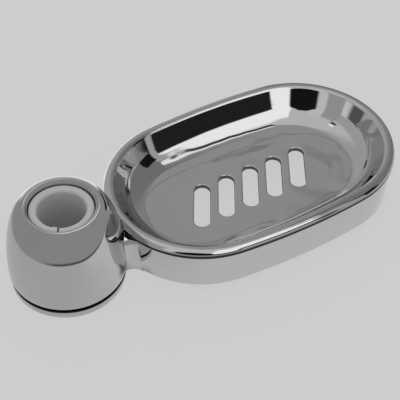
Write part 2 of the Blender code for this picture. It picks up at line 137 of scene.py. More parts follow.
class BushSizes(bpy.types.PropertyGroup):
    """Sizes of the split bush that grips the rail."""

    bore: length("Bore radius", "Radius of the bore, which passes over the rail", 0.01015)
    top: length("Rim height", "Height of the bush's rim", BUSH_HIGH.z)
    wall: length("Wall", "Wall at the foot of the taper", 0.00255)
    rise: length("Taper", "How much the taper widens on the way up", 0.0010)
    shoulder: length("Shoulder height", "Foot of the taper", 0.0122)
    step: length("Shoulder step", "How far the tail is drawn in", 0.0005)
    foot: length("Tail foot", "Height of the lower end", BUSH_LOW.z)
    lead_in: length("Lead-in", "Chamfer of the lower end", 0.0006)
    rim_round: length("Rim round", "Radius of the rim's outer edge", 0.0009)
    mouth_round: length("Mouth round", "Radius of the bore's mouth", 0.0017)
    split_width: length("Split width", "Width of the split", 0.0009)
    split_bearing: angle("Split bearing", "Where the split lies", -120.5)
    nib_width: length("Nib width", "Width of the nib beside the split", 0.0022)
    nib_reach: length("Nib reach", "How far the nib stands into the bore", 0.0004)
    nib_depth: length("Nib depth", "How far the nib runs down", 0.0030)
    keyway_wall: length("Keyway wall", "Wall left behind the keyway", 0.00145)
    keyway_clearance: length("Keyway clearance", "Gap round the key", 0.0003)
    keyway_run_out: length("Keyway run-out", "How far the keyway runs past the key", 0.0025)


class DishSizes(bpy.types.PropertyGroup):
    """Sizes of the oval tray and of the frame that carries it."""

    arm: length("Arm", "Distance from the rail's axis to the middle of the tray", 0.0926)
    length: length("Length", "Length of the tray over its rim", 0.1400)
    width: length("Width", "Width of the tray over its rim", 0.0899)
    side_bow: length("Side bow", "How far each long side bows out", 0.00145)
    rim_top: length("Rim height", "Height of the rim's crest", TRAY_HIGH.z)
    rim_outer_round: length("Rim outer round", "Radius of the rim's outer side", 0.0032)
    rim_inner_round: length("Rim inner round", "Radius of the rim's inner side", 0.0024)
    heel_round: length("Heel round", "How far the rim turns in under itself", 0.0003)
    wall: length("Wall", "Thickness of the tray", 0.0022)
    draft: angle("Draft", "Lean of the bowl's wall", 27.0)
    foot_round: length("Foot round", "Radius between the bowl's wall and floor", 0.0160)
    floor: length("Floor height", "Height of the flat floor", 0.0093)
    fall: angle("Fall", "Slope of the floor round its flat part", 3.0)
    flat_inset: length("Flat inset", "Distance from the rim to the floor's flat part", 0.0270)
    flat_blend: length("Flat blend", "Length over which the slope runs out to the flat part", 0.0015)
    clearance: length("Clearance", "Gap between the tray and its frame", 0.0003)
    spigot: length("Spigot depth", "How far the tray's spigot stands into the frame", 0.0030)
    relief: length("Collar relief", "Gap between the tray and the collar", 0.0004)
    slots: count("Slots", "How many drain slots there are", 5)
    slot_length: length("Slot length", "Length of a drain slot", 0.0264)
    slot_width: length("Slot width", "Width of a drain slot", 0.0073)
    slot_pitch: length("Slot pitch", "Distance between drain slots along the tray", 0.01295)
    slot_slant: angle("Slot slant", "Lean of the drain slots", 30.2)
    slot_shift: length("Slot shift", "How far the row of slots lies past the middle of the tray", 0.0002)
    slot_round: length("Slot round", "Radius of the upper edge of a drain slot", 0.0006)
    support: length("Support", "Width of the flat strip beside each rounded edge of the floor", 0.0003)
    skirt_inset: length("Frame inset", "How far the frame lies inside the rim", 0.0007)
    skirt_wall: length("Frame wall", "Thickness of the frame", 0.0024)
    skirt_foot: length("Frame foot", "Height of the frame's lower edge", 0.0045)
    skirt_top: length("Frame top", "Height of the frame's upper edge", 0.0216)
    skirt_foot_round: length("Frame foot round", "Radius of the frame's lower edge", 0.0008)
    skirt_edge_round: length("Frame edge round", "Radius of the frame's upper edge", 0.0004)


class NeckSizes(bpy.types.PropertyGroup):
    """Sizes of the neck between the collar and the frame."""

    half_width: length("Half width", "Half the width of the neck", 0.0140)
    collar_fillet: length("Collar fillet", "Radius where the neck meets the collar", 0.0020)
    frame_fillet: length("Frame fillet", "Radius where the neck meets the frame", 0.0064)
    foot_drop: length("Foot drop", "How far the neck hangs below the frame", 0.0003)
    top_drop: length("Top drop", "How far the neck lies below the frame's top", 0.0002)
    edge_round: length("Edge round", "Radius of the neck's upper edges", 0.0018)
    blend: length("Blend", "How deep the fillets run into the collar and the frame", 0.0001)


class FinishColours(bpy.types.PropertyGroup):
    """Colours and gloss of the finishes."""

    chrome: colour("Chrome", "Colour of the chrome plate", (0.60, 0.605, 0.61))
    chrome_roughness: share("Chrome roughness", "Roughness of the clean chrome plate", 0.03)
    tray_waves: length("Tray waves", "Depth of the slow waves in the tray's surface", 0.00018)
    body_waves: length("Body waves", "Depth of the slow waves in the holder's surface", 0.00003)
    # Painted shade: the dark colour laid into the groove above the lock ring and into the gap under the
    # tray's rim.
    recess_shade: colour("Recess", "Colour where the plate is thin", (0.03, 0.03, 0.03))
    bush: colour("Bush", "Colour of the bush's plastic", (0.42, 0.425, 0.42))
    bush_roughness: share("Bush roughness", "Roughness of the bush's plastic", 0.42)
    washer: colour("Washer", "Colour of the washer's plastic", (0.82, 0.82, 0.80))
    washer_roughness: share("Washer roughness", "Roughness of the washer's plastic", 0.45)


class StageSizes(bpy.types.PropertyGroup):
    """The floor and the studio light."""

    floor: share("Floor", "Tone of the floor and the backdrop", 0.617)
    floor_radius: length("Floor radius", "Radius of the floor", 0.60)
    floor_drop: length("Floor drop", "How far the floor lies below the lock ring's foot", 0.0001)
    shadow: share("Shadow", "Share of the floor's tone that the object's shadow can take away", 0.10)
    level: share("Level", "Strength of the plain light from all round", 0.62)
    mat: share("Mat", "Tone that the chrome shows of the pale mat beside the tray", 0.68)
    mat_far: share("Mat by the collar", "Tone that the chrome shows of the mat round the collar", 0.54)
    # Its tone also serves the painted shadows under the neck and the tray.
    mat_edge_and_shadow: share("Mat edge", "Tone that the chrome shows of the mat's dark edge", 0.10)
    mat_radius: length("Mat radius", "Radius of the pale mat", 0.103)
    mat_length: length("Mat length", "Length of the mat's straight sides", 0.160)
    edge_width: length("Edge width", "Half the width of the mat's dark edge", 0.006)
    tent: share("Tent", "Tone of the light tent round the holder", 0.355)
    card: share("Card", "Tone that the chrome shows of the white card behind", 1.05)
    window: share("Window", "Tone of the large soft light beside the tray", 1.30)


class Wire:
    """A shader socket that takes part in sums, products and comparisons."""

    def __init__(self, tree, socket):
        self.tree = tree
        self.socket = socket

    def maths(self, operation, *values):
        return node(self.tree, "ShaderNodeMath", {"operation": operation}, dict(enumerate(values)))

    def __add__(self, other):
        return self.maths("ADD", self, other)

    def __radd__(self, other):
        return self.maths("ADD", other, self)

    def __sub__(self, other):
        return self.maths("SUBTRACT", self, other)

    def __rsub__(self, other):
        return self.maths("SUBTRACT", other, self)

    def __mul__(self, other):
        return self.maths("MULTIPLY", self, other)

    def __rmul__(self, other):
        return self.maths("MULTIPLY", other, self)

    def __abs__(self):
        return self.maths("ABSOLUTE", self)

    def axis(self, name):
        """One part of a vector: X, Y or Z."""
        return node(self.tree, "ShaderNodeSeparateXYZ", {}, {"Vector": self}, name)

    def clipped(self, low, high):
        """The value, kept within a span."""
        return self.maths("MAXIMUM", self.maths("MINIMUM", self, high), low)

    def beyond(self, low, high):
        """How far the value lies outside a span, and 0 within it."""
        return self - self.clipped(low, high)

    def hypotenuse(self, other):
        return self.maths("SQRT", self * self + other * other)


def feed(made, sockets):
    """Feed a node's sockets with values or wires."""
    for name, value in sockets.items():
        if isinstance(value, Wire):
            value.tree.links.new(value.socket, made.inputs[name])
        else:
            made.inputs[name].default_value = value


def node(tree, kind, settings, sockets, output=0):
    """Add a node, set it up, feed its sockets, and give one output as a wire."""
    made = tree.nodes.new(kind)
    for name, value in settings.items():
        setattr(made, name, value)
    feed(made, sockets)
    return Wire(tree, made.outputs[output])


def smooth_step(wire, low, high):
    """0 up to low, 1 from high on, and a smooth rise between them."""
    return node(
        wire.tree, "ShaderNodeMapRange", {"interpolation_type": "SMOOTHSTEP"},
        {"Value": wire, "From Min": low, "From Max": high},
    )


def between(wire, low, high, soft):
    """1 between two ends and 0 outside, with edges twice as wide as soft. None leaves an end open."""
    rising = None if low is None else smooth_step(wire, low - soft, low + soft)
    if high is None:
        return rising
    falling = 1 - smooth_step(wire, high - soft, high + soft)
    return falling if rising is None else rising * falling


def blended(tone, mask, other):
    return tone + mask * (other - tone)


def toned(colour, share):
    """A colour times a share, as a socket takes it."""
    return (*[min(1.0, part * share) for part in colour], 1.0)


def mixed_colour(tree, mask, first, second):
    sockets = {"Factor": mask, MIX_FIRST: first, MIX_SECOND: second}
    return node(tree, "ShaderNodeMix", {"data_type": "RGBA"}, sockets, MIX_RESULT)


def noise(tree, place, scale, detail):
    return node(tree, "ShaderNodeTexNoise", {}, {"Vector": place, "Scale": scale, "Detail": detail})


def bumped(tree, height, strength, distance):
    sockets = {"Height": height, "Strength": strength, "Distance": distance}
    return node(tree, "ShaderNodeBump", {}, sockets)


def new_material(name):
    """A material with its node tree and shader, and the piece's own coordinates."""
    material = bpy.data.materials.new(name)
    material.use_nodes = True
    tree = material.node_tree
    own = node(tree, "ShaderNodeTexCoord", {}, {}, "Object")
    return material, tree, tree.nodes["Principled BSDF"], own


def ring_groove_shade(own, edge):
    """Painted shade in the groove above the lock ring, from just under the ring's upper edge."""
    below, above = 0.0002, 0.0001
    return smooth_step(own.axis("Z"), edge - below, edge + above)


def rim_underside_shade(own, dish):
    """Painted shade on the underside of the tray's rim, where it meets the frame."""
    inner_reach, outer_reach = 0.0400, 0.0405
    shaded_share, soft = 0.75, 0.0002
    half = (dish.length - dish.width) / 2 + dish.side_bow
    reach = (own.axis("X") - dish.arm).beyond(-half, half).hypotenuse(own.axis("Y"))
    under = dish.skirt_top + dish.clearance - soft
    upper = dish.rim_top - dish.rim_outer_round * shaded_share
    outside = smooth_step(reach, inner_reach, outer_reach)
    return outside * between(own.axis("Z"), under, upper, soft)


def floor_ripples(tree, own, place, floor):
    """Stronger ripples on a flat floor, which fade out where the floor rises."""
    fade, depth = 0.0015, 6.0
    flat = 1 - smooth_step(own.axis("Z"), floor, floor + fade)
    return noise(tree, place, scale=45.0, detail=1.0) * flat * depth


def chrome_material(name, finishes, offset, wave, recess_shade=None, floor=None):
    """Bright chrome on moulded plastic, with slow waves, a film of dried water and wiping marks.

    The offset shifts the pattern from piece to piece. The recess shade is an optional mask of painted
    shade, which darkens grooves and gaps in the colour, and the floor is the height of a flat floor with
    stronger ripples.
    """
    film_span, mark_span = (0.45, 0.75), (0.55, 0.80)
    film_dimming, film_roughness = 0.97, 0.02
    material, tree, shader, own = new_material(name)
    place = node(tree, "ShaderNodeMapping", {}, {"Vector": own, "Location": offset})
    film = smooth_step(noise(tree, place, scale=70.0, detail=3.0), *film_span)
    marks = smooth_step(noise(tree, place, scale=900.0, detail=2.0), *mark_span)
    roughness = finishes.chrome_roughness + film * film_roughness + marks * film * film_roughness
    clean, filmed = toned(finishes.chrome, 1.0), toned(finishes.chrome, film_dimming)
    tint = mixed_colour(tree, film, clean, filmed)
    # Painted shade: the colour turns dark where the mask marks a groove or gap.
    if recess_shade is not None:
        tint = mixed_colour(tree, recess_shade(own), tint, toned(finishes.recess_shade, 1.0))
    waves = noise(tree, place, scale=55.0, detail=1.0)
    if floor is not None:
        waves = waves + floor_ripples(tree, own, place, floor)
    bump = bumped(tree, waves, strength=1.0, distance=wave)
    feed(shader, {"Base Color": tint, "Roughness": roughness, "Metallic": 1.0, "Normal": bump})
    return material


def bush_material(name, finishes):
    """Grey-white moulded plastic with a faint cloudiness and a fine moulded grain."""
    dark_share, pale_share, cloud_roughness = 0.94, 1.04, 0.08
    material, tree, shader, own = new_material(name)
    cloud = noise(tree, own, scale=160.0, detail=3.0)
    grain = noise(tree, own, scale=2600.0, detail=2.0)
    dark, pale = toned(finishes.bush, dark_share), toned(finishes.bush, pale_share)
    tint = mixed_colour(tree, cloud, dark, pale)
    roughness = finishes.bush_roughness + cloud * cloud_roughness
    bump = bumped(tree, grain, strength=0.05, distance=0.00005)
    feed(shader, {"Base Color": tint, "Roughness": roughness, "Normal": bump})
    return material


def washer_material(name, finishes):
    """Natural white plastic, a little greyed where it has turned against the ring."""
    worn_share, worn_roughness = 0.86, 0.15
    material, tree, shader, own = new_material(name)
    wear = noise(tree, own, scale=420.0, detail=4.0)
    tint = mixed_colour(tree, wear, toned(finishes.washer, worn_share), toned(finishes.washer, 1.0))
    roughness = finishes.washer_roughness + wear * worn_roughness
    feed(shader, {"Base Color": tint, "Roughness": roughness})
    return material


def bearing_of(along, across):
    return across.maths("ARCTAN2", across, along) * math.degrees(1)


def mat_tone(own, stage):
    """The floor as the chrome shows it.

    It has a pale mat, an oblong with round ends and a soft dark edge, a white card behind it, the plain
    surroundings beyond, and painted shadows under the neck and the tray.
    """
    shift = 0.010
    collar_end, tray_end = -0.02, 0.05
    faint, deep_bearings = 0.35, (-142, -35, 18)
    card_front, card_back = 0.03, 0.06
    tray_shadow_middle, tray_shadow_edge = (0.066, 0.119), (0.036, 0.042)
    neck_shadow_along, neck_shadow_across = (0.024, 0.060, 0.004), (-0.020, 0.020, 0.004)
    along, across = own.axis("X"), own.axis("Y")
    bearing = bearing_of(along, across)
    reach = along.beyond(0.0, stage.mat_length).hypotenuse(across + shift)
    radius, width = stage.mat_radius, stage.edge_width
    faded = radius + 4 * width
    tone = blended(stage.mat_far, smooth_step(along, collar_end, tray_end), stage.mat)
    tone = blended(tone, smooth_step(reach, radius, faded), stage.tent)
    edge = smooth_step(reach, radius - width, radius)
    edge = edge * (1 - smooth_step(reach, radius + width, faded))
    deep = blended(faint, between(bearing, *deep_bearings), 1)
    tone = blended(tone, edge * deep, stage.mat_edge_and_shadow)
    card = between(bearing, *CARD_BEARINGS) * smooth_step(across, card_front, card_back)
    tone = blended(tone, card, stage.card)
    # Painted shadow on the floor under the neck, which the chrome shows.
    neck = between(along, *neck_shadow_along) * between(across, *neck_shadow_across)
    tone = blended(tone, neck, stage.mat_edge_and_shadow)
    # Painted shadow on the floor under the tray, which the chrome shows.
    tray = 1 - smooth_step(along.beyond(*tray_shadow_middle).hypotenuse(across), *tray_shadow_edge)
    return blended(tone, tray, stage.mat_edge_and_shadow)


def sky_angles(tree):
    """Bearing and height of a direction in degrees, as a soft lamp gives it."""
    towards = node(tree, "ShaderNodeTexCoord", {}, {}, "Normal")
    x, y, z = (0 - towards.axis(name) for name in "XYZ")
    return bearing_of(x, y), z.maths("ARCSINE", z) * math.degrees(1)


class Patch(NamedTuple):
    """A tone in the surroundings, with its bearings and heights in degrees, as between takes them."""

    tone: float
    bearings: tuple
    heights: tuple = ()


FAR_PATCHES = (
    Patch(0.49, (73, None, 15)),  # grey wall on the far side
    Patch(0.70, (127.5, None, 22.5), (39, None, 5)),  # paler ceiling over it
)
TRAY_END_PATCHES = (
    Patch(0.01, (37, 67, 2), (None, 13.5, 1.5)),  # dark card on the far side
    Patch(0.44, (61, 70, 1), (17, 29, 1.5)),  # strip beside it, grey above and white below
    Patch(0.20, (57, 61.8, 0.7), (20, 33, 1.5)),
    Patch(1.10, (61, 70, 1), (9, 16, 1.5)),
    Patch(0.03, (14, 40, 3), (None, 5.5, 1.5)),  # dark card past the tray's end
    Patch(0.50, (-60, -46, 1), (None, 45, 5)),  # grey wall beside the window
    Patch(0.01, (-49, -29, 1.5), (3, 33, 2)),  # dark card before that wall
)
COLLAR_END_PATCHES = (
    Patch(0.74, (-157, -136, 2), (None, 49, 7)),  # pale wall beside the window
    Patch(0.43, (-200, -157, 2), (None, 44, 6)),  # greyer wall behind the collar
    Patch(0.80, (170, 179, 2), (9, 12, 1)),  # thin lights and dark strips on that wall
    Patch(0.12, (150, 168, 2), (2, 9, 1)),
    Patch(1.20, (166, 176, 1.5), (52, 58, 1)),
    Patch(0.10, (169, 180, 1.5), (44, 51, 1)),
    Patch(0.02, (-147, -57, 2), (None, 11.5, 1)),  # dark sill under the window
    Patch(0.02, (-82, -57, 1.5), (5, 22, 2)),  # dark thing on the sill
    Patch(1.10, (-80, -61, 2), (None, 5.5, 1.5)),  # light under the sill
)


def patched(tone, bearing, height, patches):
    """Lay patches over a tone, one after the other."""
    for patch in patches:
        mask = between(bearing, *patch.bearings)
        if patch.heights:
            mask = mask * between(height, *patch.heights)
        tone = blended(tone, mask, patch.tone)
    return tone


def tent_tone(tree, stage):
    """The plain light tent, brighter low down on the tray's far side, where the card stands."""
    card_share = 0.8
    bearing, height = sky_angles(tree)
    return patched(stage.tent, bearing, height, (
        Patch(stage.card * card_share, CARD_BEARINGS, (None, 15, 11)),
        Patch(0.02, (10, 41, 4), (None, 14.5, 3.5)),  # dark card beside it
        Patch(stage.window, (57, 73, 2), (46, 57, 2)),  # small lamp over it
    ))


def ceiling_mask(bearing, height):
    """The ceiling, whose edge is highest over the tray's free end and falls away to both sides."""
    crest, crest_bearing, bow, below, above = 66, -2, 0.0088, 1.5, 4
    aside = bearing - crest_bearing
    return smooth_step(height - (crest - aside * aside * bow), -below, above)


def hoop_mask(bearing, height):
    """A thin hoop on the tray's far side."""
    hoop_bearing, hoop_height, stretch = 56.5, 45, 0.70
    inner, outer, soft = 6.6, 8.0, 0.6
    reach = ((bearing - hoop_bearing) * stretch).hypotenuse(height - hoop_height)
    return between(reach, inner, outer, soft)


def window_side(tone, bearing, height, stage):
    """The window in its wall, the dark post on its right and a bright slanting strip beside the post."""
    wall_tone, post_tone, strip_tone = 0.70, 0.06, 1.20
    jamb_bearing, jamb_bend, jamb_lean = -57, 33, 0.45
    strip_bearing, strip_height, strip_lean = -41.6, 53, 0.9
    jamb = bearing - jamb_bearing - (height - jamb_bend).clipped(0, 40) * jamb_lean
    slant = bearing - strip_bearing - (height - strip_height) * strip_lean
    tone = blended(tone, between(jamb, None, 0, 1), wall_tone)
    window = between(jamb, -52, 0, 1) * between(height, None, 59, 5)
    tone = blended(tone, window, stage.window)
    post = between(jamb, 0, None, 1) * between(slant, None, -2.5, 0.5) * between(height, 43, 67, 1.5)
    tone = blended(tone, post, post_tone)
    strip = between(slant, -2.5, 2.2, 0.7) * between(height, 46, 69, 2)
    return blended(tone, strip, strip_tone)


def gap_mask(bearing, height):
    """A dark gap in the window, which widens towards its foot."""
    middle, top, narrow_half, widening, soft = -126, 38, 6, 13, 2
    half = narrow_half + (top - height).clipped(0, widening)
    return between(abs(bearing - middle) - half, None, 0, soft) * between(height, None, top, soft)


def window_tone(tree, stage):
    """The large soft light on the left, the dark things before it, and the dimmer right side."""
    end_wall, far_wall, ceiling, hoop, gap = 0.24, 0.32, 0.40, 0.27, 0.01
    bearing, height = sky_angles(tree)
    tone = blended(end_wall, between(bearing, 23, None, 11), far_wall)
    tone = blended(tone, ceiling_mask(bearing, height), ceiling)
    tone = patched(tone, bearing, height, FAR_PATCHES)
    tone = blended(tone, hoop_mask(bearing, height), hoop)
    tone = patched(tone, bearing, height, TRAY_END_PATCHES)
    tone = window_side(tone, bearing, height, stage)
    tone = patched(tone, bearing, height, COLLAR_END_PATCHES)
    return blended(tone, gap_mask(bearing, height), gap)


def arc(centre, radius, start, end, steps, rise=None):
    """Points (across, height) along an arc between two angles in degrees, elliptic if rise is given."""
    rise = radius if rise is None else rise
    points = []
    for step in range(steps + 1):
        turn = math.radians(start + (end - start) * step / steps)
        points.append((centre[0] + radius * math.cos(turn), centre[1] + rise * math.sin(turn)))
    return points


def chain(shape, points, closed=False):
    """Vertices at points, joined into a line or a loop of edges."""
    verts = [shape.verts.new(point) for point in points]
    ends = verts[1:] + verts[:1] if closed else verts[1:]
    return verts + [shape.edges.new(pair) for pair in zip(verts, ends)]


def spun(shape, section, centre, turn, steps, merge=False):
    """Spin a section about an upright axis and give its last copy."""
    grown = bmesh.ops.spin(
        shape, geom=section, cent=centre, axis=(0, 0, 1), dvec=(0, 0, 0), angle=turn, steps=steps,
        use_merge=merge, use_normal_flip=False, use_duplicate=False,
    )
    return grown["geom_last"]


def smoothed(mesh):
    mesh.shade_smooth()
    mesh.set_sharp_from_angle(angle=SHARP_ANGLE)


def solid_object(name, shape):
    """Close the shape's seams, turn its faces outwards and make it a smooth object at the origin."""
    bmesh.ops.remove_doubles(shape, verts=shape.verts, dist=MERGE_DISTANCE)
    bmesh.ops.dissolve_degenerate(shape, edges=shape.edges, dist=MERGE_DISTANCE)
    bmesh.ops.recalc_face_normals(shape, faces=shape.faces)
    mesh = bpy.data.meshes.new(name)
    shape.to_mesh(mesh)
    shape.free()
    smoothed(mesh)
    obj = bpy.data.objects.new(name, mesh)
    bpy.context.scene.collection.objects.link(obj)
    return obj


def turned(name, profile, closed=True, steps=192):
    """Spin a section of (radius, height) about the rail's axis."""
    shape = bmesh.new()
    section = chain(shape, [(radius, 0, height) for radius, height in profile], closed)
    spun(shape, section, (0, 0, 0), math.tau, steps, merge=True)
    return solid_object(name, shape)


def block(name, bearing, inner, outer, width, low, high):
    """A box that runs out from the rail's axis at a bearing in radians."""
    shape = bmesh.new()
    bmesh.ops.create_cube(shape, size=1.0)
    bmesh.ops.scale(shape, vec=(outer - inner, width, high - low), verts=shape.verts)
    bmesh.ops.translate(shape, vec=((inner + outer) / 2, 0, (low + high) / 2), verts=shape.verts)
    bmesh.ops.rotate(shape, cent=(0, 0, 0), matrix=Matrix.Rotation(bearing, 3, "Z"), verts=shape.verts)
    return solid_object(name, shape)


def cut(obj, cutter, operation="DIFFERENCE"):
    """Cut or join with another solid, keep the result in the mesh and remove the other solid."""
    step = obj.modifiers.new(cutter.name, "BOOLEAN")
    step.operation = operation
    step.solver = "EXACT"
    step.object = cutter
    bpy.context.view_layer.update()
    graph = bpy.context.evaluated_depsgraph_get()
    mesh = bpy.data.meshes.new_from_object(obj.evaluated_get(graph))
    obj.modifiers.clear()
    old = obj.data
    obj.data = mesh
    bpy.data.meshes.remove(old)
    bpy.data.objects.remove(cutter, do_unlink=True)
    return obj


def oval_arcs(dish):
    """The four arcs of the tray's plan: centre x and y, radius, start angle and turn, free end first."""
    end_radius = dish.width / 2 - dish.side_bow
    end_centre = dish.length / 2 - end_radius
    side_centre = (end_centre**2 - dish.side_bow**2) / (2 * dish.side_bow)
    side_radius = dish.width / 2 + side_centre
    join = math.atan2(side_centre, end_centre)
    return (
        (dish.arm + end_centre, 0, end_radius, -join, 2 * join),
        (dish.arm, -side_centre, side_radius, join, math.pi - 2 * join),
        (dish.arm - end_centre, 0, end_radius, math.pi - join, 2 * join),
        (dish.arm, side_centre, side_radius, math.pi + join, math.pi - 2 * join),
    )


def sweep_oval(shape, dish, profile, end_steps=108, side_steps=20):
    """Spin a section of (inset, height) about the centre of each arc of the oval in turn."""
    arcs = oval_arcs(dish)
    x, y, radius, start, _ = arcs[0]
    points = [
        (x + (radius - inset) * math.cos(start), y + (radius - inset) * math.sin(start), height)
        for inset, height in profile
    ]
    section = chain(shape, points)
    for number, (x, y, _, _, turn) in enumerate(arcs):
        section = spun(shape, section, (x, y, 0), turn, side_steps if number % 2 else end_steps)
    bmesh.ops.remove_doubles(shape, verts=shape.verts, dist=MERGE_DISTANCE)


def open_loop(shape, height):
    """The edges of the open loop that lies at a height."""
    return [
        edge for edge in shape.edges
        if edge.is_boundary and all(abs(vert.co.z - height) < MERGE_DISTANCE for vert in edge.verts)
    ]


def taper_radius(bush, height):
    return bush.bore + bush.wall + bush.rise * (height - bush.shoulder) / (bush.top - bush.shoulder)


def lip_crest(collar, bush):
    seat = taper_radius(bush, collar.height - collar.lip_round) + collar.seat_clearance
    return seat + collar.lip_round


def collar_radius(collar, bush, height):
    lip = lip_crest(collar, bush)
    rise = min(1.0, max(0.0, (height - collar.widest) / (collar.height - collar.widest)))
    return lip + (collar.radius - lip) * math.sqrt(1 - rise**2)


def dome_section(collar, bush):
    """Collar outline from the lip's crest down to the foot."""
    lip = lip_crest(collar, bush)
    widest = collar.widest
    dome = arc((lip, widest), collar.radius - lip, 90, 0, steps=44, rise=collar.height - widest)
    tuck = (collar.radius - collar.tuck, widest)
    return dome + arc(tuck, collar.tuck, 0, -90, steps=12, rise=widest - collar.foot)[1:]


def neck_outline(neck, dish, collar, bush):
    """Plan of the neck, with a small fillet at the collar and a larger one at the frame."""
    arcs = oval_arcs(dish)
    end_x, end_radius = arcs[2][0], arcs[2][2]
    top = dish.skirt_top - neck.top_drop
    near = collar_radius(collar, bush, top) + neck.collar_fillet - neck.blend
    near_y = neck.half_width + neck.collar_fillet
    near_x = math.sqrt(near**2 - near_y**2)
    far = end_radius - dish.skirt_inset + neck.frame_fillet - neck.blend
    far_y = neck.half_width + neck.frame_fillet
    far_x = end_x - math.sqrt(far**2 - far_y**2)
    leave = 180 - math.degrees(math.atan2(near_y, near_x))
    meet = math.degrees(math.atan2(far_y, end_x - far_x))
    side = arc((near_x, -near_y), neck.collar_fillet, leave, 90, steps=12)
    sweep = arc((far_x, -far_y), neck.frame_fillet, 90, meet, steps=24)
    side += [point for point in sweep if point[0] > side[-1][0] + MERGE_DISTANCE]
    return [(0, 0)] + side + [(end_x, 0)] + [(x, -y) for x, y in reversed(side)]


def neck_solid(neck, dish, collar, bush):
    foot = dish.skirt_foot - neck.foot_drop
    top = dish.skirt_top - neck.top_drop
    shape = bmesh.new()
    plan = neck_outline(neck, dish, collar, bush)
    outline = chain(shape, [(x, y, foot) for x, y in plan], closed=True)
    bmesh.ops.contextual_create(shape, geom=outline)
    grown = bmesh.ops.extrude_face_region(shape, geom=shape.faces[:])
    raised = [item for item in grown["geom"] if isinstance(item, bmesh.types.BMVert)]
    bmesh.ops.translate(shape, verts=raised, vec=(0, 0, top - foot))
    bmesh.ops.recalc_face_normals(shape, faces=shape.faces)
    edges = [edge for edge in shape.edges if all(vert in raised for vert in edge.verts)]
    bmesh.ops.bevel(
        shape, geom=edges, affect="EDGES", offset=neck.edge_round, segments=8, profile=0.5, material=-1
    )
    return solid_object("neck", shape)


def frame_solid(dish):
    """Outside of the oval frame, as a solid."""
    edge = (dish.skirt_inset + dish.skirt_edge_round, dish.skirt_top - dish.skirt_edge_round)
    foot = (dish.skirt_inset + dish.skirt_foot_round, dish.skirt_foot + dish.skirt_foot_round)
    profile = arc(edge, dish.skirt_edge_round, 90, 180, steps=5)
    profile += arc(foot, dish.skirt_foot_round, 180, 270, steps=6)
    shape = bmesh.new()
    sweep_oval(shape, dish, profile)
    for height in (dish.skirt_top, dish.skirt_foot):
        bmesh.ops.contextual_create(shape, geom=open_loop(shape, height))
    return solid_object("oval_frame", shape)


def frame_well(dish):
    """Space inside the oval frame."""
    low = dish.skirt_foot - OVERRUN
    high = dish.skirt_top + OVERRUN
    inset = dish.skirt_inset + dish.skirt_wall
    shape = bmesh.new()
    sweep_oval(shape, dish, [(inset, high), (inset, low)])
    for height in (high, low):
        bmesh.ops.contextual_create(shape, geom=open_loop(shape, height))
    return solid_object("frame_well", shape)


def collar_hollow(collar, ring, bush):
    """Room between the dome and the sleeve, with the ring's room below and the ribs left standing."""
    crown = collar.height - collar.wall
    sleeve = taper_radius(bush, crown) + collar.seat_clearance + collar.sleeve_wall
    sleeve_foot = taper_radius(bush, collar.sleeve_foot) + collar.seat_clearance + collar.sleeve_wall
    reach = collar.radius - collar.wall - sleeve
    foot_radius = collar.radius - collar.tuck - collar.wall
    room = ring.radius + ring.seam
    profile = arc((sleeve, collar.widest), reach, 90, 0, steps=12, rise=crown - collar.widest)
    profile += [(foot_radius, collar.foot), (room, collar.foot), (room, -OVERRUN), (0, -OVERRUN)]
    profile += [(0, collar.sleeve_foot), (sleeve_foot, collar.sleeve_foot)]
    hollow = turned("collar_hollow", profile)
    for number in range(collar.ribs):
        bearing = math.tau * (number + 0.5) / collar.ribs
        cut(hollow, block(
            "rib", bearing, bush.bore, collar.radius + OVERRUN, collar.rib_thickness,
            collar.sleeve_foot + collar.rib_recess, collar.height + OVERRUN,
        ))
    return hollow


def seat_cutter(collar, bush):
    """Tapered seat of the bush, with its round lip and the key left standing."""
    crest = lip_crest(collar, bush)
    foot = collar.sleeve_foot - OVERRUN
    profile = [(0, collar.height + OVERRUN), (crest, collar.height + OVERRUN)]
    profile += arc((crest, collar.height - collar.lip_round), collar.lip_round, 90, 180, steps=14)
    profile += [(taper_radius(bush, foot) + collar.seat_clearance, foot), (0, foot)]
    seat = turned("seat", profile, closed=False)
    tip = bush.bore + bush.keyway_wall + bush.keyway_clearance
    return cut(seat, block("key", 0, tip, collar.radius, collar.key_width, 0, collar.key_height))


